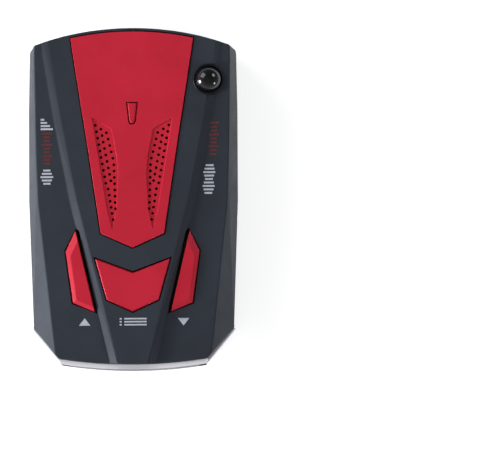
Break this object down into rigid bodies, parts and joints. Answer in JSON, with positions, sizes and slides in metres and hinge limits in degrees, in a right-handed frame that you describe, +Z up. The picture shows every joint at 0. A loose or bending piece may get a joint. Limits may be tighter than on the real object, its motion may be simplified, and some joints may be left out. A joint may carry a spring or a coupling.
{
  "type": "radar detector",
  "caption": "Dashboard radar detector: faceted black case, red speaker grille panel, push buttons, dome laser lens, silver-framed display at the front.",
  "frame": {"origin": "centre of the bounding box at its base, on the surface it stands on", "axes": "+Z up, +Y towards the antenna end that faces forward in the car, -Y towards the display end that faces the driver, +X to the right seen from above with the display at the bottom"},
  "size_m": [0.07, 0.114, 0.0305],
  "materials": {
    "case_black": "fine-textured moulded black plastic",
    "panel_red": "pearl red lacquer, satin",
    "bezel_silver": "silver-lacquered plastic, satin",
    "smoked_window": "smoked clear plastic, polished",
    "dome_black": "infra-red-pass plastic, polished",
    "cloth_black": "open-weave acoustic cloth",
    "label_grey": "blank film label",
    "steel": "zinc plated",
    "tin": "tin plated sheet",
    "board_green": "solder-masked glass laminate",
    "zinc_cast": "as cast, lightly tumbled",
    "brass": "plated contact",
    "chip_black": "moulded epoxy",
    "switch_white": "moulded nylon",
    "cone_paper": "doped paper",
    "magnet_grey": "ground ferrite and steel",
    "foam_black": "foam rubber",
    "wire_red": "vinyl insulation",
    "can_blue": "sleeved aluminium can",
    "display_black": "moulded display block"
  },
  "bodies": {
    "case": {"bottom_cover": "case_black", "top_cover": "case_black", "case_screws": "steel", "rating_label": "label_grey", "grille_panel": "panel_red", "grille_cloth": "cloth_black", "panel_insert": "panel_red", "switch_bodies": "chip_black", "dome_lens": "dome_black", "dome_ring": "dome_black", "dome_sensor": "chip_black", "dome_sensor_board": "board_green", "dome_sensor_leads": "steel", "front_bezel": "bezel_silver", "display_window": "smoked_window", "led_display": "display_black", "display_board": "board_green", "display_header": "brass", "rear_window": "smoked_window", "laser_sensor": "chip_black", "main_board": "board_green", "board_screws": "steel", "horn_antenna": "zinc_cast", "antenna_probe": "brass", "rf_shield": "tin", "speaker_frame": "steel", "speaker_cone": "cone_paper", "speaker_magnet": "magnet_grey", "speaker_gasket": "foam_black", "speaker_wires": "wire_red", "speaker_plug": "switch_white", "power_jack": "chip_black", "jack_pin": "brass", "controller_chip": "chip_black", "voice_chip": "chip_black", "amplifier_chip": "chip_black", "capacitors": "can_blue", "clock_crystal": "tin", "power_inductor": "magnet_grey"},
    "up_key": {"up_button": "panel_red", "up_plunger": "switch_white"},
    "menu_key": {"menu_button": "panel_red", "menu_plunger": "switch_white"},
    "down_key": {"down_button": "panel_red", "down_plunger": "switch_white"}
  },
  "joints": [
    {"name": "up_press", "type": "slide", "parent": "case", "child": "up_key", "axis": [0, 0, -1], "range_m": [0, 0.0005], "stiffness_N_per_m": 800, "springref_m": -0.0005},
    {"name": "menu_press", "type": "slide", "parent": "case", "child": "menu_key", "axis": [0, 0, -1], "range_m": [0, 0.0005], "stiffness_N_per_m": 800, "springref_m": -0.0005},
    {"name": "down_press", "type": "slide", "parent": "case", "child": "down_key", "axis": [0, 0, -1], "range_m": [0, 0.0005], "stiffness_N_per_m": 800, "springref_m": -0.0005}
  ]
}
